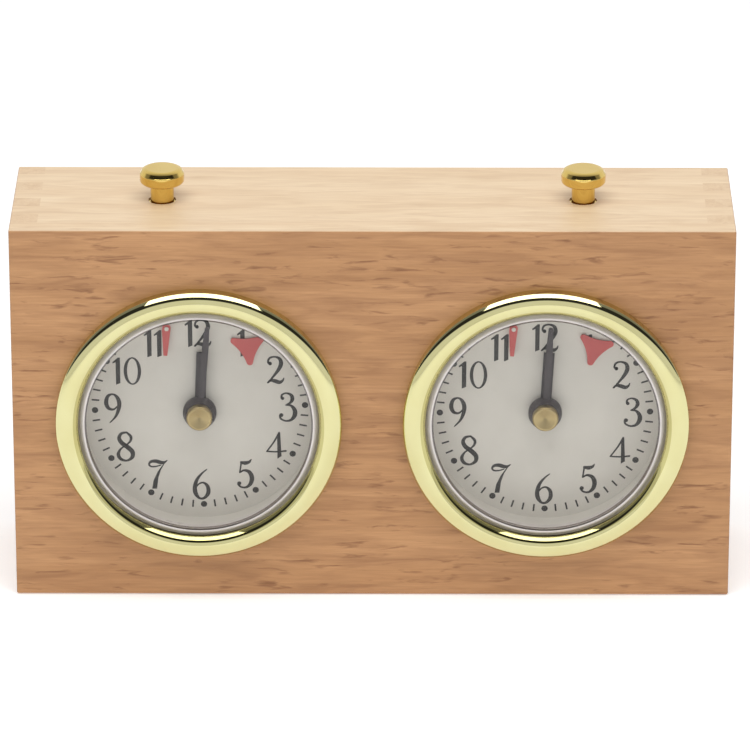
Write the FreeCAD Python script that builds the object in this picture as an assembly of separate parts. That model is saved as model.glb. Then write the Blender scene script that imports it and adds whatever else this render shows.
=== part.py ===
"""Mechanical chess clock: two clockwork movements side by side in one wooden case.

Two brass plungers stand on the case. They rest on one rocking beam, so pressing one lifts the other, and its
brake wires hold the balance wheel of the player who has pressed.
Millimetres. X runs to the right seen from the dials, Y from the dials to the back, Z up.
The origin is the middle of the case's base.
"""

import FreeCAD, Part
import math
import os

os.makedirs("parts", exist_ok=True)
Vector = FreeCAD.Vector

# Case
WIDTH = 205.0
DEPTH = 52.0
HEIGHT = 112.0
BOARD = 7.8
FINGER = DEPTH / 8
PANEL = FINGER
EDGE_ROUND = 0.5
FRONT = -DEPTH / 2
BACK = DEPTH / 2
PANEL_BACK = FRONT + PANEL
INNER_TOP = HEIGHT - BOARD
INNER_SIDE = WIDTH / 2 - BOARD
REAR_PANEL_FRONT = 9.0
REAR_PANEL_BACK = 12.6
FIT_GAP = 0.15
BLOCK = 9.0
BLOCK_FRONT = 1.0

# Clocks
CLOCK_X = 49.4
CLOCK_Z = 53.7
CLOCKS = {"left": -CLOCK_X, "right": CLOCK_X}
MINUTE_ANGLE = {"left": 5.2, "right": 3.0}
HOUR_ANGLE = {"left": 2.4, "right": 3.2}
INDICATOR_ANGLE = {"left": 35.0, "right": 15.0}

# Bezel and crystal, as radius and depth
BEZEL_OUTER = 40.75
BEZEL_CREST = 37.2
BEZEL_LIP = 34.3
BEZEL_RISE = 4.8
BEZEL_OUTER_CURVE = 4.4
BEZEL_LIP_CURVE = 3.3
PANEL_HOLE = 36.35
TUBE_OUTER = 36.2
TUBE_INNER = 35.4
TUBE_END = -17.5
CRYSTAL_FACE = -28.7
CRYSTAL_RADIUS = 33.0
CRYSTAL_WALL = 1.4

# Dial
DIAL_FRONT = -16.5
DIAL_BACK = -16.0
DIAL_RADIUS = 37.4
DIAL_WALL_FRONT = -23.0
DIAL_WALL = (33.7, 35.1)
FOOT_RADIUS_AT = 29.0

# Movement plates
PLATE_RADIUS = 31.0
PLATE_FRONT = -12.6
PLATE_FRONT_IN = -11.4
PLATE_BACK_IN = 4.6
PLATE_BACK = 5.8
EAR_AT = 41.5
EAR_ANGLES = (0.0, 180.0, 270.0)
PILLAR_AT = 28.0
PILLAR_RADIUS = 1.5
PILLAR_ANGLES = (120.0, 200.0, 255.0, 340.0)
RUNNING = 0.05

# Gears
PRESSURE_ANGLE = math.radians(25.0)
ADDENDUM = 0.65
DEDENDUM = 0.95
BACKLASH = 0.1
BARREL_TEETH, CENTRE_PINION_TEETH, BARREL_MODULE = 56, 10, 0.4
CENTRE_TEETH, THIRD_PINION_TEETH, CENTRE_MODULE = 60, 8, 0.36
THIRD_TEETH, FOURTH_PINION_TEETH, THIRD_MODULE = 56, 8, 0.34
FOURTH_TEETH, ESCAPE_PINION_TEETH, FOURTH_MODULE = 56, 8, 0.32
CANNON_TEETH, MINUTE_WHEEL_TEETH, CANNON_MODULE = 12, 36, 0.3
MINUTE_PINION_TEETH, HOUR_TEETH = 10, 40
ESCAPE_TEETH = 15
ESCAPE_RADIUS = 5.5


def centres_apart(teeth, pinion_teeth, module):
    """Distance between the axes of two meshed gears."""
    return (teeth + pinion_teeth) * module / 2


MOTION_WORK_APART = centres_apart(MINUTE_WHEEL_TEETH, CANNON_TEETH, CANNON_MODULE)
HOUR_MODULE = 2 * MOTION_WORK_APART / (HOUR_TEETH + MINUTE_PINION_TEETH)


def polar(radius, degrees):
    """A point of the clock's face, from the clock's middle: across, then up."""
    a = math.radians(degrees)
    return (radius * math.cos(a), radius * math.sin(a))


def step(start, radius, degrees):
    """The point at this distance and direction from another."""
    u, v = polar(radius, degrees)
    return (start[0] + u, start[1] + v)


def direction(a, b):
    """Degrees of the line from a to b."""
    return math.degrees(math.atan2(b[1] - a[1], b[0] - a[0]))


def meeting(a, ra, b, rb):
    """Where two circles meet, on the left of the line from a to b."""
    gap = math.dist(a, b)
    along = (ra * ra - rb * rb + gap * gap) / (2 * gap)
    across = math.degrees(math.acos(along / ra))
    return step(a, ra, direction(a, b) + across)


# Arbors, from the clock's middle
CENTRE = (0.0, 0.0)
BARREL_AT = (0.0, -centres_apart(BARREL_TEETH, CENTRE_PINION_TEETH, BARREL_MODULE))
ESCAPE_AT = (14.0, 19.4)
FOURTH_AT = step(ESCAPE_AT, centres_apart(FOURTH_TEETH, ESCAPE_PINION_TEETH, FOURTH_MODULE), 203.5)
THIRD_AT = meeting(
    CENTRE,
    centres_apart(CENTRE_TEETH, THIRD_PINION_TEETH, CENTRE_MODULE),
    FOURTH_AT,
    centres_apart(THIRD_TEETH, FOURTH_PINION_TEETH, THIRD_MODULE),
)
PALLET_AT = step(ESCAPE_AT, 7.9, -48.0)
BALANCE_AT = step(PALLET_AT, 12.3, -97.0)
MINUTE_WHEEL_AT = polar(MOTION_WORK_APART, 210.0)
CLICK_AT = step(BARREL_AT, 9.0, 20.0)
FLAG_AT = (-9.2, 25.6)

ARBOR = 0.7
CANNON_RADIUS = 1.4
THIN_ARBOR = 0.5
WINDING_ARBOR = 1.5
KNOB_END = 17.0
HOUR_TUBE = (CANNON_RADIUS + RUNNING, 2.4)
ESCAPE_ARBOR = 0.45
PALLET_PIN = 0.3

# Hands
HOUR_LENGTH = 18.1
HOUR_WIDTH = 3.1
HOUR_FRONT, HOUR_BACK = -18.0, -17.5
MINUTE_LENGTH = 26.5
MINUTE_WIDTH = 1.9
MINUTE_TIP = 1.3
MINUTE_FRONT, MINUTE_BACK = -19.7, -19.2
BOSS_BACK, BOSS_FRONT = -18.4, -21.6
BOSS_RADII = (4.8, 4.0)
CAP_RADIUS = 3.7
CAP_FRONT = -24.0
CAP_DIMPLE = 1.3

# Balance
BALANCE_RADIUS = 7.4
BALANCE_RIM = 1.0
BALANCE_PLANE = (1.0, 2.2)

# Plungers and rocker
PLUNGER_X = 60.0
PLUNGER_Y = -1.0
HEAD_TOP = HEIGHT + 9.7
HEAD_RADIUS = 6.35
HEAD_THICK = 4.6
NECK_RADIUS = 3.35
STEM_RADIUS = 2.0
BUSH_RADIUS = 3.9
NECK_END = 105.5
PIVOT_Z = 95.0
PIN_RADIUS = 1.5
BEAM_TOP = 98.0
BEAM_BOTTOM = 93.0
BEAM_HALF = 66.0
BEAM_THICK = 3.0
STEM_END = BEAM_TOP + 0.3
BRAKE_GAP = 2.35
BRAKE_WIRE = 0.45
BRAKE_Y = 1.6

# Screws
SCREW_SHANK = 1.1
SCREW_HEAD = 2.2
HEAD_HIGH = 1.2


def turned(profile):
    """A solid spun about the Y axis. Each point is a radius and a depth, and an arc has a point between."""
    edges = []
    for a, b in zip(profile, profile[1:]):
        start, end = Vector(a[0], a[1], 0), Vector(b[0], b[1], 0)
        if len(b) == 4:
            edges.append(Part.Arc(start, Vector(b[2], b[3], 0), end).toShape())
        else:
            edges.append(Part.LineSegment(start, end).toShape())
    first, last = profile[0], profile[-1]
    edges.append(Part.LineSegment(Vector(last[0], last[1], 0), Vector(first[0], first[1], 0)).toShape())
    face = Part.Face(Part.Wire(edges))
    return face.revolve(Vector(0, 0, 0), Vector(0, 1, 0), 360)


def rod(radius, y0, y1, at=CENTRE):
    """A cylinder along Y."""
    return Part.makeCylinder(radius, y1 - y0, Vector(at[0], y0, at[1]), Vector(0, 1, 0))


def tube(inner, outer, y0, y1, at=CENTRE):
    """A ring along Y."""
    return rod(outer, y0, y1, at).cut(rod(inner, y0 - 1, y1 + 1, at))


def plate(points, y0, y1):
    """A flat piece in the plane of the dial, from its outline."""
    corners = [Vector(u, y0, v) for u, v in points]
    return Part.Face(Part.makePolygon(corners + corners[:1])).extrude(Vector(0, y1 - y0, 0))


def bar(a, b, width, y0, y1):
    """A flat bar with round ends between two points of the dial's plane."""
    side = direction(a, b) + 90
    half = width / 2
    outline = [step(a, half, side), step(b, half, side), step(b, half, side + 180), step(a, half, side + 180)]
    return plate(outline, y0, y1).fuse([rod(half, y0, y1, a), rod(half, y0, y1, b)]).removeSplitter()


def box(x0, x1, y0, y1, z0, z1):
    """A block between these faces."""
    return Part.makeBox(x1 - x0, y1 - y0, z1 - z0, Vector(x0, y0, z0))


def gear(teeth, module, y0, y1, at, tooth_towards):
    """A spur gear with stub involute teeth, one of them pointing in the given direction."""
    pitch = teeth * module / 2
    base = pitch * math.cos(PRESSURE_ANGLE)
    root = pitch - DEDENDUM * module
    tip = pitch + ADDENDUM * module
    half_tooth = math.pi / (2 * teeth) * (1 - BACKLASH) + math.tan(PRESSURE_ANGLE) - PRESSURE_ANGLE

    def half_angle(radius):
        turn = math.acos(min(1.0, base / radius))
        return math.degrees(half_tooth - math.tan(turn) + turn)

    start = max(root, base)
    flank = [start + (tip - start) * i / 3 for i in range(4)]
    radii = flank if root >= base else [root] + flank
    outline = []
    for tooth in range(teeth):
        middle = tooth_towards + 360.0 * tooth / teeth
        outline += [step(at, r, middle - half_angle(r)) for r in radii]
        outline += [step(at, r, middle + half_angle(r)) for r in reversed(radii)]
    return plate(outline, y0, y1)


def wheel(teeth, module, y0, y1, at, tooth_towards, bore):
    """A gear wheel with four round windows."""
    radius = teeth * module / 2
    blank = gear(teeth, module, y0, y1, at, tooth_towards)
    windows = [rod(radius * 0.26, y0 - 1, y1 + 1, step(at, radius * 0.57, 45 + 90 * i)) for i in range(4)]
    return blank.cut(windows + [rod(bore, y0 - 1, y1 + 1, at)])


def pinion(teeth, module, y0, y1, at, wheel_at):
    """A pinion with a gap, not a tooth, towards the wheel that turns it."""
    return gear(teeth, module, y0, y1, at, direction(at, wheel_at) + 180.0 / teeth)


def spiral(inner, outer, turns, thick, y0, y1, at, start=0.0):
    """A flat coil spring."""
    steps = int(turns * 20)
    inside, outside = [], []
    for i in range(steps + 1):
        radius = inner + (outer - inner) * i / steps
        angle = start + 360.0 * turns * i / steps
        inside.append(step(at, radius - thick / 2, angle))
        outside.append(step(at, radius + thick / 2, angle))
    return plate(inside + outside[::-1], y0, y1)


def wood_screw(at, y_head, length, outwards):
    """A slotted round-head screw along Y: its head stands outwards from y_head."""
    y_top = y_head + outwards * HEAD_HIGH
    head = rod(SCREW_HEAD, min(y_head, y_top), max(y_head, y_top), at)
    low, high = sorted((y_head, y_head - outwards * length))
    slot_low, slot_high = sorted((y_head + outwards * HEAD_HIGH / 2, y_head + outwards * (HEAD_HIGH + 1)))
    slot = box(at[0] - 0.3, at[0] + 0.3, slot_low, slot_high, at[1] - 3, at[1] + 3)
    return head.fuse(rod(SCREW_SHANK, low, high, at)).cut(slot)


def upright(radius, z0, z1, x, y):
    """A cylinder along Z."""
    return Part.makeCylinder(radius, z1 - z0, Vector(x, y, z0), Vector(0, 0, 1))


# Case

CASE_BLANK = box(-WIDTH / 2, WIDTH / 2, FRONT, BACK, 0, HEIGHT)
CASE_BLANK = CASE_BLANK.makeFillet(EDGE_ROUND, CASE_BLANK.Edges)
BRACKET_SCREW_X = 11.0
PILOT = SCREW_SHANK + 0.03


def finger_range(k):
    """The k-th finger's depth, counted from the back, the first being 0."""
    return BACK - (k + 1) * FINGER, BACK - k * FINGER


def flat_board(z0, z1):
    """Top or bottom board: its fingers are the even divisions."""
    board = box(-INNER_SIDE, INNER_SIDE, PANEL_BACK, BACK, z0, z1)
    fingers = [box(-WIDTH / 2, WIDTH / 2, *finger_range(k), z0, z1) for k in (1, 3, 5)]
    return board.fuse(fingers).removeSplitter().common(CASE_BLANK)


def side_board(sign):
    """End board: its fingers are the divisions that the top and bottom leave."""
    x0, x1 = sorted((sign * INNER_SIDE, sign * WIDTH / 2))
    board = box(x0, x1, PANEL_BACK, BACK, 0, HEIGHT)
    notches = []
    for k in (1, 3, 5):
        notches.append(box(x0, x1, *finger_range(k), -1, BOARD))
        notches.append(box(x0, x1, *finger_range(k), INNER_TOP, HEIGHT + 1))
    return board.cut(notches).common(CASE_BLANK)


def case_top():
    holes = [upright(BUSH_RADIUS + 0.03, INNER_TOP - 1, HEIGHT + 1, x, PLUNGER_Y) for x in (-PLUNGER_X, PLUNGER_X)]
    for x in (-BRACKET_SCREW_X, BRACKET_SCREW_X):
        holes.append(upright(PILOT, INNER_TOP - 1, INNER_TOP + 5.2, x, PLUNGER_Y))
    return flat_board(INNER_TOP, HEIGHT).cut(holes)


def front_panel():
    board = box(-WIDTH / 2, WIDTH / 2, FRONT, PANEL_BACK, 0, HEIGHT).common(CASE_BLANK)
    for x in CLOCKS.values():
        ears = [rod(PILOT, PANEL_BACK - 3.4, PANEL_BACK + 1, step((x, CLOCK_Z), EAR_AT, a)) for a in EAR_ANGLES]
        board = board.cut([rod(PANEL_HOLE, FRONT - 1, PANEL_BACK + 1, (x, CLOCK_Z))] + ears)
    return board


def block_centres():
    """The middle of each corner block, across and up."""
    x = INNER_SIDE - BLOCK / 2
    return [(sx * x, z) for sx in (-1, 1) for z in (BOARD + BLOCK / 2, INNER_TOP - BLOCK / 2)]


def corner_blocks():
    blocks = []
    for x, z in block_centres():
        half = BLOCK / 2
        block = box(x - half, x + half, BLOCK_FRONT, REAR_PANEL_FRONT, z - half, z + half)
        blocks.append(block.cut(rod(PILOT, BLOCK_FRONT + 1, REAR_PANEL_FRONT + 1, (x, z))))
    return Part.makeCompound(blocks)


def rear_panel():
    inset = FIT_GAP
    board = box(
        -INNER_SIDE + inset,
        INNER_SIDE - inset,
        REAR_PANEL_FRONT,
        REAR_PANEL_BACK,
        BOARD + inset,
        INNER_TOP - inset,
    )
    y0, y1 = REAR_PANEL_FRONT - 1, REAR_PANEL_BACK + 1
    holes = [rod(PILOT, y0, y1, at) for at in block_centres()]
    for x in CLOCKS.values():
        holes.append(rod(2.5, y0, y1, (x, CLOCK_Z)))
        holes.append(rod(3.2, y0, y1, (x + BARREL_AT[0], CLOCK_Z + BARREL_AT[1])))
    return board.cut(holes)


def wood_screws():
    """Screws of the rear panel, of the movements' ears and of the rocker's bracket."""
    screws = [wood_screw(at, REAR_PANEL_BACK, 10.0, 1) for at in block_centres()]
    for x in CLOCKS.values():
        screws += [wood_screw(step((x, CLOCK_Z), EAR_AT, a), PLATE_FRONT_IN, 11.2, 1) for a in EAR_ANGLES]
    for x in (-BRACKET_SCREW_X, BRACKET_SCREW_X):
        shank = upright(SCREW_SHANK, BRACKET_TOP_LOW, INNER_TOP + 5.0, x, PLUNGER_Y)
        head = upright(SCREW_HEAD, BRACKET_TOP_LOW - HEAD_HIGH, BRACKET_TOP_LOW, x, PLUNGER_Y)
        screws.append(shank.fuse(head))
    return Part.makeCompound(screws)


# Plungers and rocker

BRACKET_TOP_LOW = INNER_TOP - 1.0
CHEEK_HALF = 4.0
CHEEK_THICK = 1.0


def plunger(x):
    """A mushroom plunger: flat head with a bevelled rim, neck, thin stem and a stop ring."""
    head_low = HEAD_TOP - HEAD_THICK
    profile = [
        (0, HEAD_TOP),
        (HEAD_RADIUS - 1.5, HEAD_TOP),
        (HEAD_RADIUS, HEAD_TOP - 1.1, HEAD_RADIUS - 0.42, HEAD_TOP - 0.33),
        (HEAD_RADIUS, head_low + 1.3),
        (HEAD_RADIUS - 1.6, head_low, HEAD_RADIUS - 0.45, head_low + 0.4),
        (NECK_RADIUS + 0.5, head_low),
        (NECK_RADIUS, head_low - 0.5, NECK_RADIUS + 0.15, head_low - 0.15),
        (NECK_RADIUS, NECK_END),
        (STEM_RADIUS, NECK_END),
        (STEM_RADIUS, 101.0),
        (3.6, 101.0),
        (3.6, 100.2),
        (STEM_RADIUS, 100.2),
        (STEM_RADIUS, STEM_END),
        (0, STEM_END),
    ]
    solid = turned(profile)
    solid.rotate(Vector(0, 0, 0), Vector(1, 0, 0), 90)
    solid.translate(Vector(x, PLUNGER_Y, 0))
    return solid


def button_bushes():
    bushes = []
    for x in (-PLUNGER_X, PLUNGER_X):
        ring = upright(BUSH_RADIUS, INNER_TOP, HEIGHT - 0.4, x, PLUNGER_Y)
        bushes.append(ring.cut(upright(NECK_RADIUS + RUNNING, INNER_TOP - 1, HEIGHT + 1, x, PLUNGER_Y)))
    return Part.makeCompound(bushes)


def rocker_beam():
    """A flat beam on edge, with a hub between the bracket's cheeks."""
    y0, y1 = PLUNGER_Y - BEAM_THICK / 2, PLUNGER_Y + BEAM_THICK / 2
    half = CHEEK_HALF - 0.3
    beam = box(-BEAM_HALF, BEAM_HALF, y0, y1, BEAM_BOTTOM, BEAM_TOP)
    hub = rod(4.5, PLUNGER_Y - half, PLUNGER_Y + half, (0, PIVOT_Z))
    bore = rod(PIN_RADIUS + 0.06, PLUNGER_Y - 9, PLUNGER_Y + 9, (0, PIVOT_Z))
    return beam.fuse(hub).cut(bore)


def rocker_bracket():
    """A bent bracket under the top board: two cheeks that carry the pin."""
    y0, y1 = PLUNGER_Y - CHEEK_HALF, PLUNGER_Y + CHEEK_HALF
    top = box(-14, 14, y0 - CHEEK_THICK, y1 + CHEEK_THICK, BRACKET_TOP_LOW, INNER_TOP)
    front = box(-7, 7, y0 - CHEEK_THICK, y0, PIVOT_Z - 5, INNER_TOP)
    back = box(-7, 7, y1, y1 + CHEEK_THICK, PIVOT_Z - 5, INNER_TOP)
    holes = [upright(PILOT, 100, 110, x, PLUNGER_Y) for x in (-BRACKET_SCREW_X, BRACKET_SCREW_X)]
    bore = rod(PIN_RADIUS + 0.02, y0 - 3, y1 + 3, (0, PIVOT_Z))
    return top.fuse([front, back]).cut(holes + [bore])


def rocker_pin():
    end = CHEEK_HALF + CHEEK_THICK
    pin = rod(PIN_RADIUS, PLUNGER_Y - end - 0.6, PLUNGER_Y + end + 0.6, (0, PIVOT_Z))
    head = rod(PIN_RADIUS + 1, PLUNGER_Y - end - 1.4, PLUNGER_Y - end - 0.1, (0, PIVOT_Z))
    return pin.fuse(head)


def brake_wires():
    """One wire a side, hanging from the beam beside the outer rim of that side's balance wheel."""
    wires = []
    beam_back = PLUNGER_Y + BEAM_THICK / 2
    for side, x in CLOCKS.items():
        outwards = 1 if side == "right" else -1
        reach = BALANCE_RADIUS + BRAKE_GAP + BRAKE_WIRE
        at = x + BALANCE_AT[0] + outwards * reach
        lug = box(at - 1.5, at + 1.5, beam_back, BRAKE_Y + 0.9, BEAM_BOTTOM + 0.5, BEAM_TOP - 0.5)
        wire = upright(BRAKE_WIRE, CLOCK_Z - 1.0, BEAM_BOTTOM + 2.0, at, BRAKE_Y)
        wires.append(lug.fuse(wire))
    return Part.makeCompound(wires)


# Clock, round its own middle


def curve_depth(across, radius):
    """How far a circle drops behind its crest at this distance across."""
    return radius - math.sqrt(radius * radius - across * across)


def bezel():
    """A spun ring: upright outer edge, broad crown, rolled lip inside, and a tube that goes into the panel."""
    crest = FRONT - BEZEL_RISE
    out, into = BEZEL_OUTER - BEZEL_CREST, BEZEL_CREST - BEZEL_LIP
    shoulder = crest + curve_depth(out, BEZEL_OUTER_CURVE)
    outer_mid = (BEZEL_CREST + out / 2, crest + curve_depth(out / 2, BEZEL_OUTER_CURVE))
    lip_mid = (BEZEL_CREST - into / 2, crest + curve_depth(into / 2, BEZEL_LIP_CURVE))
    lip_front = crest + curve_depth(into, BEZEL_LIP_CURVE)
    return turned(
        [
            (TUBE_OUTER, FRONT),
            (BEZEL_OUTER, FRONT),
            (BEZEL_OUTER, shoulder),
            (BEZEL_CREST, crest) + outer_mid,
            (BEZEL_LIP, lip_front) + lip_mid,
            (BEZEL_LIP, lip_front + 0.5),
            (TUBE_INNER, lip_front + 2.1),
            (TUBE_INNER, TUBE_END),
            (TUBE_OUTER, TUBE_END),
        ]
    )


def crystal():
    """A clear moulded cup: flat face, bevelled shoulder and a flange that the bezel's tube holds."""
    inside = CRYSTAL_FACE + CRYSTAL_WALL
    return turned(
        [
            (0, CRYSTAL_FACE),
            (CRYSTAL_RADIUS, CRYSTAL_FACE),
            (CRYSTAL_RADIUS + 1.1, CRYSTAL_FACE + 1.7),
            (CRYSTAL_RADIUS + 1.1, -25.6),
            (TUBE_INNER - 0.1, -25.6),
            (TUBE_INNER - 0.1, -23.4),
            (CRYSTAL_RADIUS - 0.1, -23.4),
            (CRYSTAL_RADIUS - 0.1, inside + 0.8),
            (CRYSTAL_RADIUS - 0.9, inside),
            (0, inside),
        ]
    )


def dial():
    """The dial plate with its pale side wall, three feet and the flag's post."""
    disc = rod(DIAL_RADIUS, DIAL_FRONT, DIAL_BACK)
    wall = tube(*DIAL_WALL, DIAL_WALL_FRONT, DIAL_FRONT)
    feet = [rod(1.0, DIAL_BACK, PLATE_FRONT, polar(FOOT_RADIUS_AT, a)) for a in (50, 170, 290)]
    post = rod(0.35, -18.9, DIAL_FRONT, FLAG_AT).fuse(rod(0.6, -18.9, -18.6, FLAG_AT))
    holes = [rod(2.7, -17, -15), rod(0.9, -17, -15, ESCAPE_AT)]
    return disc.fuse([wall, post] + feet).cut(holes)


def movement_front_plate():
    disc = rod(PLATE_RADIUS, PLATE_FRONT, PLATE_FRONT_IN)
    ears = [
        bar(polar(PLATE_RADIUS - 4, a), polar(EAR_AT, a), 6.0, PLATE_FRONT, PLATE_FRONT_IN)
        for a in EAR_ANGLES
    ]
    post = rod(0.5, -15.7, PLATE_FRONT, MINUTE_WHEEL_AT)
    y0, y1 = PLATE_FRONT - 1, PLATE_FRONT_IN + 1
    holes = [rod(SCREW_SHANK + 0.1, y0, y1, polar(EAR_AT, a)) for a in EAR_ANGLES]
    holes += [rod(THIN_ARBOR + RUNNING, y0, y1, at) for at in (THIRD_AT, FOURTH_AT, PALLET_AT, BALANCE_AT)]
    holes.append(rod(ESCAPE_ARBOR + RUNNING, y0, y1, ESCAPE_AT))
    holes.append(rod(ARBOR + RUNNING, y0, y1))
    holes.append(rod(WINDING_ARBOR + RUNNING, y0, y1, BARREL_AT))
    return disc.fuse(ears + [post]).cut(holes)


def movement_back_plate():
    disc = rod(PLATE_RADIUS, PLATE_BACK_IN, PLATE_BACK)
    post = rod(0.6, PLATE_BACK, 7.6, CLICK_AT)
    y0, y1 = PLATE_BACK_IN - 1, PLATE_BACK + 1
    arbors = (THIRD_AT, FOURTH_AT, PALLET_AT, BALANCE_AT)
    holes = [rod(THIN_ARBOR + RUNNING, y0, y1, at) for at in arbors]
    holes.append(rod(ESCAPE_ARBOR + RUNNING, y0, y1, ESCAPE_AT))
    holes.append(rod(ARBOR + RUNNING, y0, y1))
    holes.append(rod(WINDING_ARBOR + RUNNING, y0, y1, BARREL_AT))
    return disc.cut(holes).fuse(post)


def movement_pillars():
    """Four pillars between the plates, and three spacers between the front plate and the case."""
    pillars = [rod(PILLAR_RADIUS, PLATE_FRONT_IN, PLATE_BACK_IN, polar(PILLAR_AT, a)) for a in PILLAR_ANGLES]
    spacers = [tube(SCREW_SHANK + 0.1, 2.3, PANEL_BACK, PLATE_FRONT, polar(EAR_AT, a)) for a in EAR_ANGLES]
    return pillars + spacers


def barrel():
    """The toothed drum and the mainspring coiled in it."""
    top, bottom = -9.4, -1.2
    outer = 10.6
    drum = rod(outer, top, bottom, BARREL_AT)
    teeth = gear(
        BARREL_TEETH, BARREL_MODULE, bottom - 1.6, bottom, BARREL_AT, direction(BARREL_AT, CENTRE)
    )
    hollow = rod(outer - 0.6, top + 0.7, bottom - 0.7, BARREL_AT)
    bore = rod(WINDING_ARBOR + RUNNING, top - 1, bottom + 1, BARREL_AT)
    spring = spiral(3.0, 9.5, 6, 0.35, top + 1.2, bottom - 1.2, BARREL_AT)
    return Part.makeCompound([drum.fuse(teeth).cut([hollow, bore]), spring])


def winding_arbor():
    """The arbor that the key turns, with its ratchet wheel behind the back plate."""
    teeth, tip, root = 18, 5.2, 4.3
    outline = []
    for i in range(teeth):
        outline.append(step(BARREL_AT, tip, 360.0 * i / teeth))
        outline.append(step(BARREL_AT, root, 360.0 * (i + 0.12) / teeth))
    ratchet = plate(outline, PLATE_BACK + 0.3, PLATE_BACK + 1.3)
    return rod(WINDING_ARBOR, -12.2, 16.0, BARREL_AT).fuse(ratchet)


def winding_key():
    """A wing key on the end of the winding arbor, its wings behind the setting knob's reach."""
    u, v = BARREL_AT
    half_thick = 0.8
    wing_y, wing_x = 22.0, 6.2
    hub = rod(3.0, 14.0, 20.4, BARREL_AT)
    web = box(u - wing_x, u + wing_x, 19.4, 23.4, v - half_thick, v + half_thick)
    wings, eyes = [], []
    for x in (u - wing_x, u + wing_x):
        wings.append(Part.makeCylinder(3.7, 2 * half_thick, Vector(x, wing_y, v - half_thick), Vector(0, 0, 1)))
        eyes.append(Part.makeCylinder(2.0, 4, Vector(x, wing_y, v - 2), Vector(0, 0, 1)))
    bore = rod(WINDING_ARBOR + 0.03, 13, 16.05, BARREL_AT)
    return hub.fuse([web] + wings).cut(eyes + [bore])


def click():
    """The pawl beside the ratchet wheel."""
    nose = step(BARREL_AT, 5.2 + 0.85, 62.0)
    body = bar(CLICK_AT, nose, 1.2, PLATE_BACK + 0.3, PLATE_BACK + 1.2)
    hub = rod(1.5, PLATE_BACK + 0.3, PLATE_BACK + 1.2, CLICK_AT)
    return body.fuse(hub).cut(rod(0.6 + RUNNING, PLATE_BACK, 8, CLICK_AT))


def centre_wheel():
    """The wheel and pinion that turn loosely on the minute arbor."""
    y0, y1 = -10.9, -10.1
    teeth = wheel(CENTRE_TEETH, CENTRE_MODULE, y0, y1, CENTRE, direction(CENTRE, THIRD_AT), 0.9)
    hub = rod(1.3, -11.1, -1.0)
    leaves = pinion(CENTRE_PINION_TEETH, BARREL_MODULE, -3.1, -0.9, CENTRE, BARREL_AT)
    return teeth.fuse([hub, leaves]).cut(rod(ARBOR + RUNNING, -12, 0))


def third_wheel():
    at = THIRD_AT
    teeth = wheel(THIRD_TEETH, THIRD_MODULE, -8.0, -7.2, at, direction(at, FOURTH_AT), 0.4)
    leaves = pinion(THIRD_PINION_TEETH, CENTRE_MODULE, -11.1, -9.4, at, CENTRE)
    return rod(THIN_ARBOR, -12.3, 5.5, at).fuse([teeth, leaves])


def fourth_wheel():
    at = FOURTH_AT
    teeth = wheel(FOURTH_TEETH, FOURTH_MODULE, -5.6, -4.9, at, direction(at, ESCAPE_AT), 0.4)
    leaves = pinion(FOURTH_PINION_TEETH, THIRD_MODULE, -8.5, -6.7, at, THIRD_AT)
    return rod(THIN_ARBOR, -12.3, 5.5, at).fuse([teeth, leaves])


def escape_wheel():
    """Saw teeth, pinion, and the arbor that comes out through the dial."""
    at = ESCAPE_AT
    outline = []
    for i in range(ESCAPE_TEETH):
        angle = 360.0 * i / ESCAPE_TEETH
        outline += [step(at, ESCAPE_RADIUS, angle), step(at, ESCAPE_RADIUS, angle + 2), step(at, 4.3, angle + 9)]
    teeth = plate(outline, -2.9, -2.2)
    leaves = pinion(ESCAPE_PINION_TEETH, FOURTH_MODULE, -6.1, -4.4, at, FOURTH_AT)
    return rod(ESCAPE_ARBOR, -17.0, 5.5, at).fuse([teeth, leaves])


def pallet_lever():
    """The lever between the escape wheel and the balance: two pin pallets and a fork."""
    at = PALLET_AT
    y0, y1 = -1.9, -1.2
    to_escape = direction(at, ESCAPE_AT)
    pins = [step(at, 4.6, to_escape + a) for a in (-54, 54)]
    fork_base = step(at, 7.4, direction(at, BALANCE_AT))
    tines = [step(at, 9.0, direction(at, BALANCE_AT) + a) for a in (-6, 6)]
    pieces = [bar(at, p, 1.0, y0, y1) for p in pins]
    pieces += [rod(PALLET_PIN, -3.0, y0, p) for p in pins]
    pieces += [bar(at, fork_base, 1.0, y0, y1)]
    pieces += [bar(fork_base, t, 0.6, y0, y1) for t in tines]
    return rod(THIN_ARBOR, -12.3, 5.5, at).fuse(pieces)


def balance_wheel():
    """Rim, arms, staff, impulse roller and hairspring."""
    at = BALANCE_AT
    y0, y1 = BALANCE_PLANE
    rim = tube(BALANCE_RADIUS - BALANCE_RIM, BALANCE_RADIUS, y0, y1, at)
    arms = [bar(at, step(at, BALANCE_RADIUS - 0.5, a), 1.0, y0 + 0.2, y1 - 0.3) for a in (20, 140, 260)]
    hub = rod(1.2, y0 - 0.2, y1 + 0.4, at)
    roller = rod(2.5, -0.8, -0.2, at)
    impulse = rod(PALLET_PIN, -1.9, -0.8, step(at, 2.1, direction(at, PALLET_AT)))
    collet = rod(1.0, 2.8, 3.7, at)
    spring = spiral(0.9, 4.6, 6, 0.16, 3.0, 3.5, at)
    staff = rod(THIN_ARBOR, -12.3, 5.5, at)
    return staff.fuse([rim, hub, roller, impulse, collet, spring] + arms)


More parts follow.
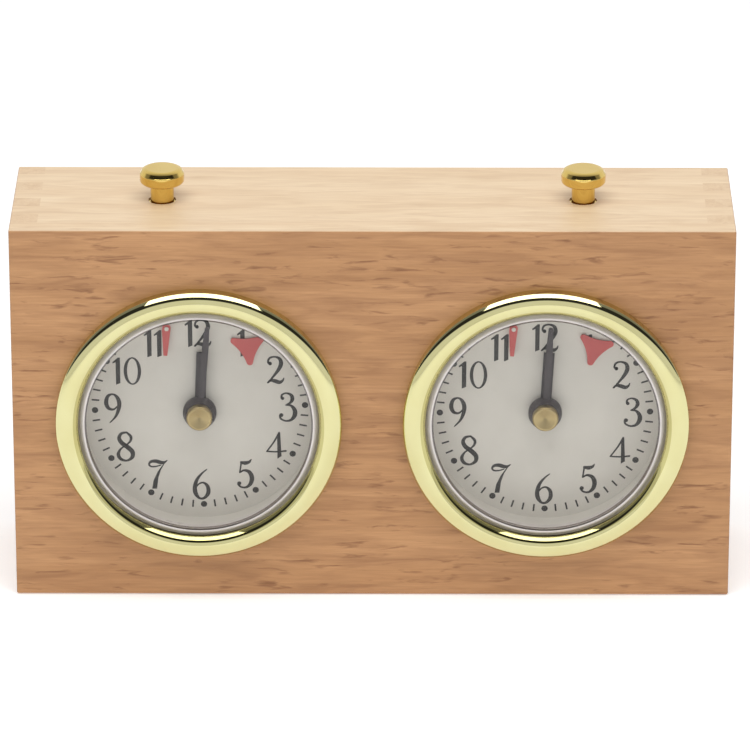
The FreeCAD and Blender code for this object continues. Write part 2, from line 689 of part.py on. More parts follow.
def minute_arbor():
    """The arbor from the setting knob to the minute hand, with the cannon pinion and the brass cap."""
    shaft = turned(
        [
            (0, CAP_FRONT + CAP_DIMPLE),
            (CAP_RADIUS - 0.75, CAP_FRONT),
            (CAP_RADIUS, CAP_FRONT + 0.5, CAP_RADIUS - 0.22, CAP_FRONT + 0.12),
            (CAP_RADIUS, BOSS_FRONT),
            (CANNON_RADIUS, BOSS_FRONT),
            (CANNON_RADIUS, PLATE_FRONT - 0.2),
            (ARBOR, PLATE_FRONT - 0.2),
            (ARBOR, KNOB_END - 0.05),
            (0, KNOB_END - 0.05),
        ]
    )
    leaves = gear(
        CANNON_TEETH, CANNON_MODULE, -13.9, PLATE_FRONT - 0.2, CENTRE, direction(CENTRE, MINUTE_WHEEL_AT)
    )
    return shaft.fuse(leaves)


def minute_wheel():
    """The wheel and pinion on the front plate's post, between the minute arbor and the hour wheel."""
    at = MINUTE_WHEEL_AT
    gap_towards = direction(at, CENTRE) + 180.0 / MINUTE_WHEEL_TEETH
    teeth = wheel(MINUTE_WHEEL_TEETH, CANNON_MODULE, -13.7, -12.9, at, gap_towards, 0.8)
    leaves = gear(MINUTE_PINION_TEETH, HOUR_MODULE, -15.3, -13.5, at, direction(at, CENTRE))
    return teeth.fuse(leaves).cut(rod(0.5 + RUNNING, -16, -12, at))


def hour_wheel():
    """The slow wheel and its tube, which turn round the minute arbor."""
    gap_towards = direction(CENTRE, MINUTE_WHEEL_AT) + 180.0 / HOUR_TEETH
    teeth = wheel(HOUR_TEETH, HOUR_MODULE, -15.2, -14.3, CENTRE, gap_towards, 1.6)
    return teeth.fuse(tube(HOUR_TUBE[0], HOUR_TUBE[1], HOUR_FRONT - 0.2, -14.2)).cut(rod(HOUR_TUBE[0], -20, -12))


def clockwise(shape, degrees):
    """The shape turned clockwise about the clock's middle, as its owner sees it."""
    return shape.rotated(Vector(0, 0, 0), Vector(0, 1, 0), degrees)


def hour_hand(side):
    half = HOUR_WIDTH / 2
    blade = plate([(-half, 2), (-half, HOUR_LENGTH), (half, HOUR_LENGTH), (half, 2)], HOUR_FRONT, HOUR_BACK)
    hand = rod(4.0, HOUR_FRONT, HOUR_BACK).fuse(blade).cut(rod(HOUR_TUBE[1] + 0.02, -19, -17))
    return clockwise(hand, HOUR_ANGLE[side])


def minute_hand(side):
    half, tip = MINUTE_WIDTH / 2, MINUTE_TIP / 2
    outline = [(-half, 2), (-half, 20), (-tip, MINUTE_LENGTH - 0.4), (-tip + 0.3, MINUTE_LENGTH)]
    outline += [(-u, v) for u, v in reversed(outline)]
    blade = plate(outline, MINUTE_FRONT, MINUTE_BACK)
    back, front = BOSS_RADII
    boss = turned([(0, BOSS_BACK), (back, BOSS_BACK), (back, MINUTE_FRONT), (front, BOSS_FRONT), (0, BOSS_FRONT)])
    hand = boss.fuse(blade).cut(rod(CANNON_RADIUS + 0.02, -23, -17))
    return clockwise(hand, MINUTE_ANGLE[side])


def flag():
    """The thin red flag that the minute hand lifts before the hour."""
    u, v = FLAG_AT
    outline = [(u - 1.0, v - 8.3), (u + 0.1, v - 8.4), (u + 1.2, v + 0.3), (u + 0.8, v + 1.0)]
    outline += [(u - 1.1, v + 1.0), (u - 1.3, v - 0.8)]
    return plate(outline, -18.4, -18.0).cut(rod(0.35 + RUNNING, -19, -17, FLAG_AT))


def tick_indicator(side):
    """The red three-cornered disc on the escape wheel's arbor."""
    corner, reach, hollow = 0.9, 4.6, 1.75
    y0, y1 = -17.3, -16.9
    edges = []
    for k in range(3):
        a = INDICATOR_ANGLE[side] + 120 * k
        centre = step(ESCAPE_AT, reach, a)
        start, tip, end = (step(centre, corner, a + turn) for turn in (-70, 0, 70))
        middle = step(ESCAPE_AT, corner + hollow, a + 60)
        after = step(step(ESCAPE_AT, reach, a + 120), corner, a + 50)
        points = [Vector(u, y0, v) for u, v in (start, tip, end, middle, after)]
        edges.append(Part.Arc(points[0], points[1], points[2]).toShape())
        edges.append(Part.Arc(points[2], points[3], points[4]).toShape())
    face = Part.Face(Part.Wire(edges))
    blank = face.extrude(Vector(0, y1 - y0, 0))
    return blank.cut(rod(ESCAPE_ARBOR + 0.01, -17.05, -16, ESCAPE_AT))


def setting_knob():
    """The fluted knob on the minute arbor's back end."""
    knob = turned([(0, 14.2), (5.2, 14.2), (5.7, 14.7), (5.7, 17.6), (5.2, 18.1), (0, 18.1)])
    grooves = [rod(0.4, 14, 19, polar(5.85, 15 * i)) for i in range(24)]
    return knob.cut(grooves + [rod(ARBOR + 0.02, 13, KNOB_END)])


def placed(shape, x):
    """A clock's piece, carried to that clock's place in the case."""
    return shape.translated(Vector(x, 0, CLOCK_Z))


def write(name, shape):
    """One file for each named piece."""
    if not shape.isValid():
        raise ValueError(name + " is not a valid solid")
    shape.exportStep("parts/" + name + ".step")
    print(name, len(shape.Solids), round(shape.Volume, 1))


def case_pieces():
    return {
        "case_top": case_top(),
        "case_bottom": flat_board(0, BOARD),
        "left_side": side_board(-1),
        "right_side": side_board(1),
        "front_panel": front_panel(),
        "rear_panel": rear_panel(),
        "corner_blocks": corner_blocks(),
        "wood_screws": wood_screws(),
        "left_button": plunger(-PLUNGER_X),
        "right_button": plunger(PLUNGER_X),
        "button_bushes": button_bushes(),
        "rocker_beam": rocker_beam(),
        "rocker_bracket": rocker_bracket(),
        "rocker_pin": rocker_pin(),
        "brake_wires": brake_wires(),
    }


def shared_pieces():
    """Fixed pieces that both movements have, each pair in one file."""
    pillars, fronts, backs = [], [], []
    for x in CLOCKS.values():
        pillars += [placed(p, x) for p in movement_pillars()]
        fronts.append(placed(movement_front_plate(), x))
        backs.append(placed(movement_back_plate(), x))
    return {
        "movement_pillars": Part.makeCompound(pillars),
        "movement_front_plates": Part.makeCompound(fronts),
        "movement_back_plates": Part.makeCompound(backs),
    }


def clock_pieces(side):
    return {
        "bezel": bezel(),
        "crystal": crystal(),
        "dial": dial(),
        "mainspring_barrel": barrel(),
        "winding_arbor": winding_arbor(),
        "winding_key": winding_key(),
        "click": click(),
        "centre_wheel": centre_wheel(),
        "third_wheel": third_wheel(),
        "fourth_wheel": fourth_wheel(),
        "escape_wheel": escape_wheel(),
        "pallet_lever": pallet_lever(),
        "balance_wheel": balance_wheel(),
        "minute_arbor": minute_arbor(),
        "minute_wheel": minute_wheel(),
        "hour_wheel": hour_wheel(),
        "hour_hand": hour_hand(side),
        "minute_hand": minute_hand(side),
        "flag": flag(),
        "tick_indicator": tick_indicator(side),
        "setting_knob": setting_knob(),
    }


for piece, solid in {**case_pieces(), **shared_pieces()}.items():
    write(piece, solid)
for side_name, clock_x in CLOCKS.items():
    for piece, solid in clock_pieces(side_name).items():
        write(side_name + "_" + piece, placed(solid, clock_x))
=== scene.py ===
"""Looks of the mechanical chess clock: beech case, brass bezels and plungers, and dials under clear crystals.

Metres, in the CAD frame: X to the right seen from the dials, Y from the dials to the back, Z up.
Profiles, dial print and the values named for them are in millimetres.
"""

import math

import bpy
import bmesh
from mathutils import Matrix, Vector


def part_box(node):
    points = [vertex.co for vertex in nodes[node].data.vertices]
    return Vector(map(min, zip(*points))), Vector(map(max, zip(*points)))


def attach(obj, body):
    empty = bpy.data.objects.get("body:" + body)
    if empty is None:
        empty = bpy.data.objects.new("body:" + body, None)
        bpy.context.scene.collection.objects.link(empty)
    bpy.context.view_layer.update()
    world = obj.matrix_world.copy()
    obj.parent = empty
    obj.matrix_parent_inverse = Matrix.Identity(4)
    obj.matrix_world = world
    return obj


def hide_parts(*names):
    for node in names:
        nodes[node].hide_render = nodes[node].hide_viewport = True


MM = 0.001
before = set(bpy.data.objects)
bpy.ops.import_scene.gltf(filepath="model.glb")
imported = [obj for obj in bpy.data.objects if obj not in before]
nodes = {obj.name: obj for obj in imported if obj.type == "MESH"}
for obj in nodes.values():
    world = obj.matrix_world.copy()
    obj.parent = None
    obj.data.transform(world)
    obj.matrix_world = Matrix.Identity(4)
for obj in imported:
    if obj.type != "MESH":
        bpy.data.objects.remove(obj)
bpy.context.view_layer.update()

SIDES = ("left", "right")


def middle(node):
    """The middle of a CAD node's box."""
    low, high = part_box(node)
    return (low + high) / 2


CLOCK_AT = {side: middle(f"{side}_bezel") for side in SIDES}


# Shader building


class Shader:
    """One material's node tree, with short calls for the nodes used here."""

    def __init__(self, name):
        self.material = bpy.data.materials.new(name)
        self.material.use_nodes = True
        self.tree = self.material.node_tree
        self.surface = self.tree.nodes["Principled BSDF"]
        self.output = self.tree.nodes["Material Output"]

    def node(self, kind, **settings):
        made = self.tree.nodes.new(kind)
        for key, value in settings.items():
            setattr(made, key, value)
        return made

    def link(self, out, into):
        self.tree.links.new(out, into)

    def set(self, **values):
        for key, value in values.items():
            self.surface.inputs[key.replace("_", " ")].default_value = value

    def coordinates(self, per_metre, shift=(0, 0, 0)):
        """Object coordinates with this many units to the metre along each axis."""
        place = self.node("ShaderNodeTexCoord")
        mapping = self.node("ShaderNodeMapping")
        mapping.inputs["Scale"].default_value = per_metre
        mapping.inputs["Location"].default_value = shift
        self.link(place.outputs["Object"], mapping.inputs["Vector"])
        return mapping.outputs["Vector"]

    def noise(self, per_metre, detail=3.0, roughness=0.5, distortion=0.0, shift=(0, 0, 0)):
        made = self.node("ShaderNodeTexNoise")
        made.inputs["Scale"].default_value = 1.0
        made.inputs["Detail"].default_value = detail
        made.inputs["Roughness"].default_value = roughness
        made.inputs["Distortion"].default_value = distortion
        self.link(self.coordinates(per_metre, shift), made.inputs["Vector"])
        return made.outputs["Fac"]

    def ramp(self, value, low, high, to_low=0.0, to_high=1.0):
        """Moves the range low..high of a value to to_low..to_high, and clamps it there."""
        made = self.node("ShaderNodeMapRange")
        made.inputs["From Min"].default_value = low
        made.inputs["From Max"].default_value = high
        made.inputs["To Min"].default_value = to_low
        made.inputs["To Max"].default_value = to_high
        self.link(value, made.inputs["Value"])
        return made.outputs["Result"]

    def math(self, operation, a, b):
        made = self.node("ShaderNodeMath", operation=operation)
        for socket, value in zip(made.inputs, (a, b)):
            if isinstance(value, (int, float)):
                socket.default_value = value
            else:
                self.link(value, socket)
        return made.outputs["Value"]

    def mix(self, factor, a, b, blend="MIX"):
        """Mixes two colours, each given as a triple or as another node's output."""
        made = self.node("ShaderNodeMix", data_type="RGBA", blend_type=blend)
        for socket, value in ((made.inputs[0], factor), (made.inputs[6], a), (made.inputs[7], b)):
            if isinstance(value, (int, float)):
                socket.default_value = value
            elif isinstance(value, tuple):
                socket.default_value = (*value, 1.0)
            else:
                self.link(value, socket)
        return made.outputs[2]

    def colour(self, out):
        self.link(out, self.surface.inputs["Base Color"])

    def roughness(self, out):
        self.link(out, self.surface.inputs["Roughness"])

    def bump(self, height, distance, strength=1.0):
        made = self.node("ShaderNodeBump")
        made.inputs["Distance"].default_value = distance
        made.inputs["Strength"].default_value = strength
        self.link(height, made.inputs["Height"])
        self.link(made.outputs["Normal"], self.surface.inputs["Normal"])


def along(axis, lengthwise, across):
    """Units to the metre for a pattern that is drawn out along one axis."""
    return tuple(lengthwise if k == axis else across for k in range(3))


def beech(name, axis, flecks, seed):
    """Satin-lacquered beech: figure, fibres, ray flecks and darker end grain, with painted light: faces that
    look up are painted paler, with fainter flecks, for the bright light and sheen from above.
    """
    s = Shader(name)
    shift = (seed * 3.7, seed * 5.1, seed * 2.3)
    facing = s.node("ShaderNodeNewGeometry")
    split = s.node("ShaderNodeSeparateXYZ")
    s.link(facing.outputs["Normal"], split.inputs["Vector"])
    # Painted light: faces that look up get paler lit tones and fainter flecks and end grain, for the bright
    # light and sheen from above
    up = s.ramp(split.outputs["Z"], 0.5, 0.95)
    end = s.ramp(s.math("ABSOLUTE", split.outputs[axis], 0), 0.6, 0.9)
    figure = s.noise(along(axis, 7, 95), detail=4, roughness=0.55, distortion=0.4, shift=shift)
    fibres = s.noise(along(axis, 75, 1700), detail=4, roughness=0.62, shift=shift)
    waves = s.noise(along(axis, 40, 300), detail=3, roughness=0.55, distortion=0.7, shift=shift)
    clouds = s.noise(along(axis, 16, 34), detail=2, shift=shift)
    rays = s.noise(along(axis, 105, 640), detail=3, roughness=0.5, distortion=0.5, shift=shift)
    tone = s.mix(s.ramp(figure, 0.3, 0.7), WOOD_PALE, WOOD_DEEP)
    lit = s.mix(s.ramp(figure, 0.3, 0.7), TOP_PAINTED_LIT_PALE, TOP_PAINTED_LIT_DEEP)
    tone = s.mix(up, tone, lit)
    shade = s.mix(up, WOOD_DARK, TOP_PAINTED_LIT_DARK)
    tone = s.mix(s.ramp(fibres, 0.32, 0.72, 0.0, 0.3), tone, shade)
    tone = s.mix(s.ramp(waves, 0.42, 0.75, 0.0, 0.5), tone, shade)
    crowd = s.ramp(clouds, 0.35, 0.65, 0.05, -0.02)
    fleck = s.ramp(s.math("SUBTRACT", rays, crowd), 0.59, 0.75, 0.0, flecks)
    # Painted sheen: flecks and end grain are drawn fainter on faces that look up
    tone = s.mix(s.math("MULTIPLY", fleck, s.ramp(up, 0.0, 1.0, 1.0, 0.35)), tone, shade)
    tone = s.mix(s.math("MULTIPLY", end, s.ramp(up, 0.0, 1.0, 0.4, 0.3)), tone, shade)
    s.colour(tone)
    s.roughness(s.ramp(fibres, 0.2, 0.8, 0.38, 0.54))
    s.set(Coat_Weight=0.08, Coat_Roughness=0.3)
    s.bump(s.math("SUBTRACT", fibres, fleck), 0.00005, 0.5)
    return s.material


def polished(name, colour, tarnish, low, high, ripple=0.0):
    """Polished metal: faint tarnish clouds and roughness that varies like handling marks."""
    s = Shader(name)
    clouds = s.noise((90, 90, 90), detail=3)
    s.colour(s.mix(s.ramp(clouds, 0.35, 0.75, 0.0, 0.6), colour, tarnish))
    smear = s.noise((210, 210, 210), detail=4, roughness=0.6)
    s.roughness(s.ramp(smear, 0.3, 0.75, low, high))
    s.set(Metallic=1.0)
    if ripple:
        s.bump(clouds, ripple, 0.4)
    return s.material


def brushed(name, colour, darker, axis, low, high):
    """Satin metal with fine drawn lines along one axis."""
    s = Shader(name)
    lines = s.noise(along(axis, 60, 4200), detail=3)
    s.colour(s.mix(s.ramp(lines, 0.3, 0.7, 0.0, 0.5), colour, darker))
    s.roughness(s.ramp(lines, 0.25, 0.75, low, high))
    s.set(Metallic=1.0)
    s.bump(lines, 0.00002, 0.4)
    return s.material


def lacquer(name, colour, darker, low, high, metallic=0.0):
    """Thin paint on sheet metal: slight colour clouds and fine orange peel."""
    s = Shader(name)
    clouds = s.noise((160, 160, 160), detail=3)
    s.colour(s.mix(s.ramp(clouds, 0.3, 0.75), colour, darker))
    peel = s.noise((2600, 2600, 2600), detail=2)
    s.roughness(s.ramp(peel, 0.3, 0.7, low, high))
    s.set(Metallic=metallic)
    s.bump(peel, 0.000008, 0.4)
    return s.material


def clear_film(name, gloss, tint):
    """Clear moulded plastic. What is behind shows through, and gloss grows as it turns away from the view."""
    s = Shader(name)
    s.surface.inputs["Base Color"].default_value = (0.95, 0.95, 0.95, 1.0)
    s.set(Metallic=1.0)
    wipe = s.noise((120, 120, 120), detail=4)
    s.roughness(s.ramp(wipe, 0.4, 0.8, 0.01, 0.05))
    through = s.node("ShaderNodeBsdfTransparent")
    through.inputs["Color"].default_value = (*tint, 1.0)
    slant = s.node("ShaderNodeLayerWeight")
    slant.inputs["Blend"].default_value = 0.5
    share = s.ramp(s.math("POWER", slant.outputs["Facing"], 4.0), 0.0, 1.0, gloss, 0.8)
    either = s.node("ShaderNodeMixShader")
    s.link(share, either.inputs["Fac"])
    s.link(through.outputs["BSDF"], either.inputs[1])
    s.link(s.surface.outputs["BSDF"], either.inputs[2])
    s.link(either.outputs["Shader"], s.output.inputs["Surface"])
    return s.material


def frosted(name):
    """The crystal's moulded skirt: pale and cloudy."""
    s = Shader(name)
    haze = s.noise((240, 240, 240), detail=3)
    s.colour(s.mix(s.ramp(haze, 0.3, 0.7), (0.90, 0.85, 0.83), (0.84, 0.79, 0.77)))
    s.roughness(s.ramp(haze, 0.3, 0.7, 0.25, 0.4))
    s.set(Alpha=0.8)
    return s.material


def plywood(name):
    """Sanded plywood: calm face grain, and layers on the cut edge."""
    s = Shader(name)
    face = s.noise(along(0, 10, 160), detail=5, distortion=0.3)
    tone = s.mix(s.ramp(face, 0.3, 0.7), (0.62, 0.43, 0.26), (0.48, 0.31, 0.17))
    layers = s.node("ShaderNodeTexWave", wave_type="BANDS", bands_direction="Y")
    layers.inputs["Scale"].default_value = 1.0
    s.link(s.coordinates((150, 150, 150)), layers.inputs["Vector"])
    tone = s.mix(s.ramp(layers.outputs["Fac"], 0.3, 0.7, 0.0, 0.25), tone, (0.33, 0.2, 0.1))
    s.colour(tone)
    s.roughness(s.ramp(face, 0.2, 0.8, 0.55, 0.7))
    s.bump(face, 0.00005, 0.4)
    return s.material


WOOD_PALE, WOOD_DEEP, WOOD_DARK = (0.60, 0.318, 0.14), (0.48, 0.24, 0.095), (0.235, 0.092, 0.03)
# Painted light: the paler tones that faces looking up get, for the bright light and sheen from above
TOP_PAINTED_LIT_PALE, TOP_PAINTED_LIT_DEEP, TOP_PAINTED_LIT_DARK = (0.875, 0.69, 0.465), (0.81, 0.605, 0.385), (0.60, 0.385, 0.21)

MATERIALS = {
    "beech_front": beech("beech_front", 0, 0.9, 1.0),
    "beech_top": beech("beech_top", 0, 0.7, 2.0),
    "beech_bottom": beech("beech_bottom", 0, 0.6, 3.0),
    "beech_side": beech("beech_side", 2, 0.6, 4.0),
    "beech_rear": beech("beech_rear", 0, 0.5, 5.0),
    "plywood": plywood("plywood"),
    "brass": polished("polished_brass", (0.70, 0.665, 0.36), (0.65, 0.60, 0.29), 0.03, 0.08),
    # Painted reflection: a darker olive brass for the bezel's inner lip, standing in for the dark
    # surroundings that the lip reflects
    "brass_lip_painted_reflection": polished("brass_lip_painted_reflection", (0.53, 0.49, 0.22), (0.47, 0.42, 0.16), 0.04, 0.09),
    "gold": polished("gold_brass", (0.76, 0.56, 0.17), (0.64, 0.43, 0.10), 0.04, 0.12),
    "turned_brass": polished("turned_brass", (0.48, 0.375, 0.19), (0.38, 0.285, 0.13), 0.26, 0.4),
    "plate_brass": brushed("plate_brass", (0.80, 0.64, 0.31), (0.68, 0.52, 0.22), 0, 0.22, 0.38),
    "steel": brushed("steel", (0.60, 0.60, 0.61), (0.48, 0.48, 0.49), 1, 0.2, 0.36),
    "zinc_steel": polished("zinc_steel", (0.66, 0.66, 0.65), (0.55, 0.56, 0.55), 0.25, 0.45),
    "dial": lacquer("dial_lacquer", (0.725, 0.695, 0.65), (0.69, 0.66, 0.615), 0.5, 0.62),
    "ink": lacquer("dial_ink", (0.02, 0.018, 0.018), (0.035, 0.031, 0.031), 0.5, 0.7),
    "hand": lacquer("hand_grey", (0.06, 0.049, 0.057), (0.046, 0.038, 0.044), 0.4, 0.55, 0.1),
    "red": lacquer("red_lacquer", (0.60, 0.10, 0.095), (0.52, 0.08, 0.08), 0.35, 0.5),
    "clear": clear_film("clear_plastic", 0.018, (0.97, 0.97, 0.96)),
    # Painted shade: a darker tint for the fine step near the crystal's rim, standing in for the dark line
    # that refraction at the step shows
    "clear_edge_painted_dark_line": clear_film("clear_edge_painted_dark_line", 0.12, (0.42, 0.38, 0.37)),
    "frosted": frosted("frosted_plastic"),
}

NODE_MATERIALS = {
    "case_top": "beech_top",
    "case_bottom": "beech_bottom",
    "left_side": "beech_side",
    "right_side": "beech_side",
    "front_panel": "beech_front",
    "corner_blocks": "beech_rear",
    "rear_panel": "plywood",
    "left_minute_arbor": "turned_brass",
    "right_minute_arbor": "turned_brass",
}
SLOT_MATERIALS = {
    "beech": "beech_rear",
    "plywood": "plywood",
    "brass": "gold",
    "plate_brass": "plate_brass",
    "steel": "steel",
    "zinc_steel": "zinc_steel",
    "clear_acrylic": "clear",
    "dial_silver": "dial",
    "hand_grey": "hand",
    "red_lacquer": "red",
}


def dress_nodes():
    """Gives each CAD node its material."""
    for name, obj in nodes.items():
        slot = obj.data.materials[0].name.split(".")[0]
        made = MATERIALS[NODE_MATERIALS.get(name, SLOT_MATERIALS[slot])]
        for k in range(len(obj.material_slots)):
            obj.material_slots[k].material = made


# Mesh building


def finish_mesh(name, mesh, material, body, sharp=30.0):
    """Puts a bmesh into the scene as one piece riding on a body, smooth below the sharp angle in degrees."""
    data = bpy.data.meshes.new(name)
    bmesh.ops.recalc_face_normals(mesh, faces=mesh.faces)
    mesh.to_mesh(data)
    mesh.free()
    data.materials.append(MATERIALS[material])
    for face in data.polygons:
        face.use_smooth = True
    data.set_sharp_from_angle(angle=math.radians(sharp))
    piece = bpy.data.objects.new(name, data)
    bpy.context.scene.collection.objects.link(piece)
    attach(piece, body)
    return piece


def arc(start, through, end, steps):
    """Points on the circle through three points of a profile, without the first."""
    (ax, ay), (bx, by), (cx, cy) = start, through, end
    d = 2 * (ax * (by - cy) + bx * (cy - ay) + cx * (ay - by))
    a2, b2, c2 = ax * ax + ay * ay, bx * bx + by * by, cx * cx + cy * cy
    ux = (a2 * (by - cy) + b2 * (cy - ay) + c2 * (ay - by)) / d
    uy = (a2 * (cx - bx) + b2 * (ax - cx) + c2 * (bx - ax)) / d
    radius = math.hypot(ax - ux, ay - uy)
    a0 = math.atan2(ay - uy, ax - ux)
    turn = [(math.atan2(y - uy, x - ux) - a0) % math.tau for x, y in (through, end)]
    sweep = turn[1] if turn[0] < turn[1] else turn[1] - math.tau
    return [
        (ux + radius * math.cos(a0 + sweep * k / steps), uy + radius * math.sin(a0 + sweep * k / steps))
        for k in range(1, steps + 1)
    ]


def outline(profile, steps=10):
    """A profile's points. An entry is (radius, depth), and an arc's entry adds a point that it passes."""
    points = []
    for entry in profile:
        if len(entry) == 2:
            points.append(entry)
        else:
            points += arc(points[-1], entry[2:], entry[:2], steps)
    return points


def spin(mesh, points, at, axis, turns=192):
    """Spins a closed profile about an axis through a point. Points at radius 0 become poles."""
    rings = []
    for radius, depth in points:
        centre = Vector(at)
        centre[axis] = depth * MM
        if radius < 1e-6:
            rings.append([mesh.verts.new(centre)])
            continue
        ring = []
        for k in range(turns):
            a = math.tau * k / turns
            u, v = radius * MM * math.cos(a), radius * MM * math.sin(a)
            ring.append(mesh.verts.new(centre + (Vector((u, 0, v)) if axis == 1 else Vector((u, v, 0)))))
        rings.append(ring)
    pairs = list(zip(rings, rings[1:]))
    if len(rings[0]) > 1 and len(rings[-1]) > 1:
        pairs.append((rings[-1], rings[0]))
    for a, b in pairs:
        for k in range(turns):
            n = (k + 1) % turns
            corners = [a[k % len(a)], a[n % len(a)], b[n % len(b)], b[k % len(b)]]
            kept = [c for i, c in enumerate(corners) if c not in corners[:i]]
            if len(kept) > 2:
                mesh.faces.new(kept)


def prism(mesh, points, y0, y1):
    """A flat plate from an outline of (x, z) points in metres."""
    back = [mesh.verts.new((x, y1, z)) for x, z in points]
    front = [mesh.verts.new((x, y0, z)) for x, z in points]
    mesh.faces.new(back)
    mesh.faces.new(reversed(front))
    for k in range(len(points)):
        n = (k + 1) % len(points)
        mesh.faces.new((back[k], back[n], front[n], front[k]))


# Bezels, crystals and plungers

BEZEL_OUTER, BEZEL_CREST, BEZEL_LIP, BEZEL_RISE = 40.75, 37.2, 34.3, 4.8
BEZEL_OUTER_CURVE, BEZEL_LIP_CURVE = 4.4, 3.3
# How far out from the lip the painted reflection's darker brass reaches, in millimetres
LIP_REFLECTION_BAND = 1.45
TUBE_OUTER, TUBE_INNER, TUBE_END = 36.2, 35.4, -17.5
FRONT = -26.0


def curve_depth(across, radius):
    """How far a circle drops behind its crest at this distance across."""
    return radius - math.sqrt(radius * radius - across * across)


def band(piece, centre, limits, names):
    """Gives a spun piece one more material beyond each of these radii, in millimetres."""
    for name in names:
        piece.data.materials.append(MATERIALS[name])
    for part in piece.data.polygons:
        corners = [piece.data.vertices[v].co - centre for v in part.vertices]
        reach = max(math.hypot(corner.x, corner.z) for corner in corners)
        part.material_index = sum(reach > limit * MM for limit in limits)


def bezel(side):
    """A spun ring: upright outer edge, broad crown, rolled lip inside, and a tube into the panel."""
    crest = FRONT - BEZEL_RISE
    out, into, ease = BEZEL_OUTER - BEZEL_CREST, BEZEL_CREST - BEZEL_LIP, 0.15
    shoulder = crest + curve_depth(out, BEZEL_OUTER_CURVE)
    rolled = crest + curve_depth(out - ease, BEZEL_OUTER_CURVE)
    lip = crest + curve_depth(into, BEZEL_LIP_CURVE)
    profile = [
        (TUBE_OUTER, FRONT),
        (BEZEL_OUTER, FRONT),
        (BEZEL_OUTER, shoulder + ease),
        (BEZEL_OUTER - ease, rolled, BEZEL_OUTER - 0.03, shoulder + 0.01),
        (BEZEL_CREST, crest, BEZEL_CREST + out / 2, crest + curve_depth(out / 2, BEZEL_OUTER_CURVE)),
        (BEZEL_LIP, lip, BEZEL_CREST - into / 2, crest + curve_depth(into / 2, BEZEL_LIP_CURVE)),
        (BEZEL_LIP, lip + 0.5),
        (TUBE_INNER, lip + 2.1),
        (TUBE_INNER, TUBE_END),
        (TUBE_OUTER, TUBE_END),
    ]
    mesh = bmesh.new()
    spin(mesh, outline(profile, 14), CLOCK_AT[side], 1, 256)
    # Painted reflection: the inner lip, out to the band's radius, gets the darker olive brass; the rest of
    # the ring gets plain brass
    piece = finish_mesh(f"{side}_bezel_ring", mesh, "brass_lip_painted_reflection", "case", 40)
    band(piece, CLOCK_AT[side], (BEZEL_LIP + LIP_REFLECTION_BAND,), ("brass",))
    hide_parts(f"{side}_bezel")


EDGE_INNER, EDGE_OUTER = 32.05, 32.5


def crystal(side):
    """A clear moulded cup: flat face with a fine step near its rim, frosted skirt and flange."""
    face, radius, wall, groove = -28.7, 33.0, 1.4, 0.12
    inside = face + wall
    skirt = radius + 1.1
    flange, flange_front, flange_back = TUBE_INNER - 0.1, -25.6, -23.4
    profile = [
        (0, face),
        (EDGE_INNER, face),
        ((EDGE_INNER + EDGE_OUTER) / 2, face + groove),
        (EDGE_OUTER, face),
        (radius - 0.3, face),
        (radius + 0.1, face + 0.15, radius - 0.06, face + 0.04),
        (skirt, face + 1.7),
        (skirt, flange_front),
        (flange, flange_front),
        (flange, flange_back),
        (radius - 0.1, flange_back),
        (radius - 0.1, inside + 0.8),
        (EDGE_INNER, inside, radius - 0.33, inside + 0.23),
        (0, inside),
    ]
    mesh = bmesh.new()
    spin(mesh, outline(profile, 5), CLOCK_AT[side], 1, 256)
    piece = finish_mesh(f"{side}_crystal_cup", mesh, "clear", "case", 25)
    # Painted shade: the fine step gets the darker tinted film for the refraction line there; the skirt and
    # flange get the frosted plastic
    band(piece, CLOCK_AT[side], (EDGE_INNER + 0.05, EDGE_OUTER + 0.05), ("clear_edge_painted_dark_line", "frosted"))
    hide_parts(f"{side}_crystal")


def plunger(side):
    """A turned brass plunger with a bevelled mushroom head, neck, thin stem and stop ring."""
    top, head, neck, stem, ring = 121.7, 6.35, 3.35, 2.0, 3.6
    low, neck_end, ring_top, ring_low, foot = top - 4.6, 105.5, 101.0, 100.2, 98.3
    profile = [
        (0, top),
        (head - 2.3, top),
        (head - 0.68, top - 0.45, head - 1.38, top - 0.12),
        (head - 0.65, top - 0.5),
        (head - 0.16, top - 1.32),
        (head - 0.13, top - 1.38),
        (head, top - 1.7, head - 0.03, top - 1.53),
        (head, low + 1.0),
        (head - 1.5, low, head - 0.4, low + 0.33),
        (neck + 0.5, low),
        (neck, low - 0.5, neck + 0.15, low - 0.15),
        (neck, neck_end),
        (stem, neck_end),
        (stem, ring_top),
        (ring, ring_top),
        (ring, ring_low),
        (stem, ring_low),
        (stem, foot),
        (0, foot),
    ]
    mesh = bmesh.new()
    spin(mesh, outline(profile, 8), middle(f"{side}_button"), 2, 128)
    piece = finish_mesh(f"{side}_plunger_turned", mesh, "gold", f"{side}_plunger", 22)
    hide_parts(f"{side}_button")


# Dial print. A stroke is a list of (x, y, width) in millimetres, from the middle of the numeral's foot.

CURVE_STEPS = 8
STROKE_GAIN = 1.12


def smooth(points):
    """A Catmull-Rom line through stroke points, as (x, y, width)."""
    made = []
    for k in range(len(points) - 1):
        a, b = points[max(k - 1, 0)], points[k]
        c, d = points[k + 1], points[min(k + 2, len(points) - 1)]
        for i in range(CURVE_STEPS):
            t = i / CURVE_STEPS
            made.append(
                tuple(
                    q + 0.5 * t * (r - p + t * (2 * p - 5 * q + 4 * r - s + t * (3 * (q - r) - p + s)))
                    for p, q, r, s in zip(a, b, c, d)
                )
            )
    made.append(points[-1])
    return made


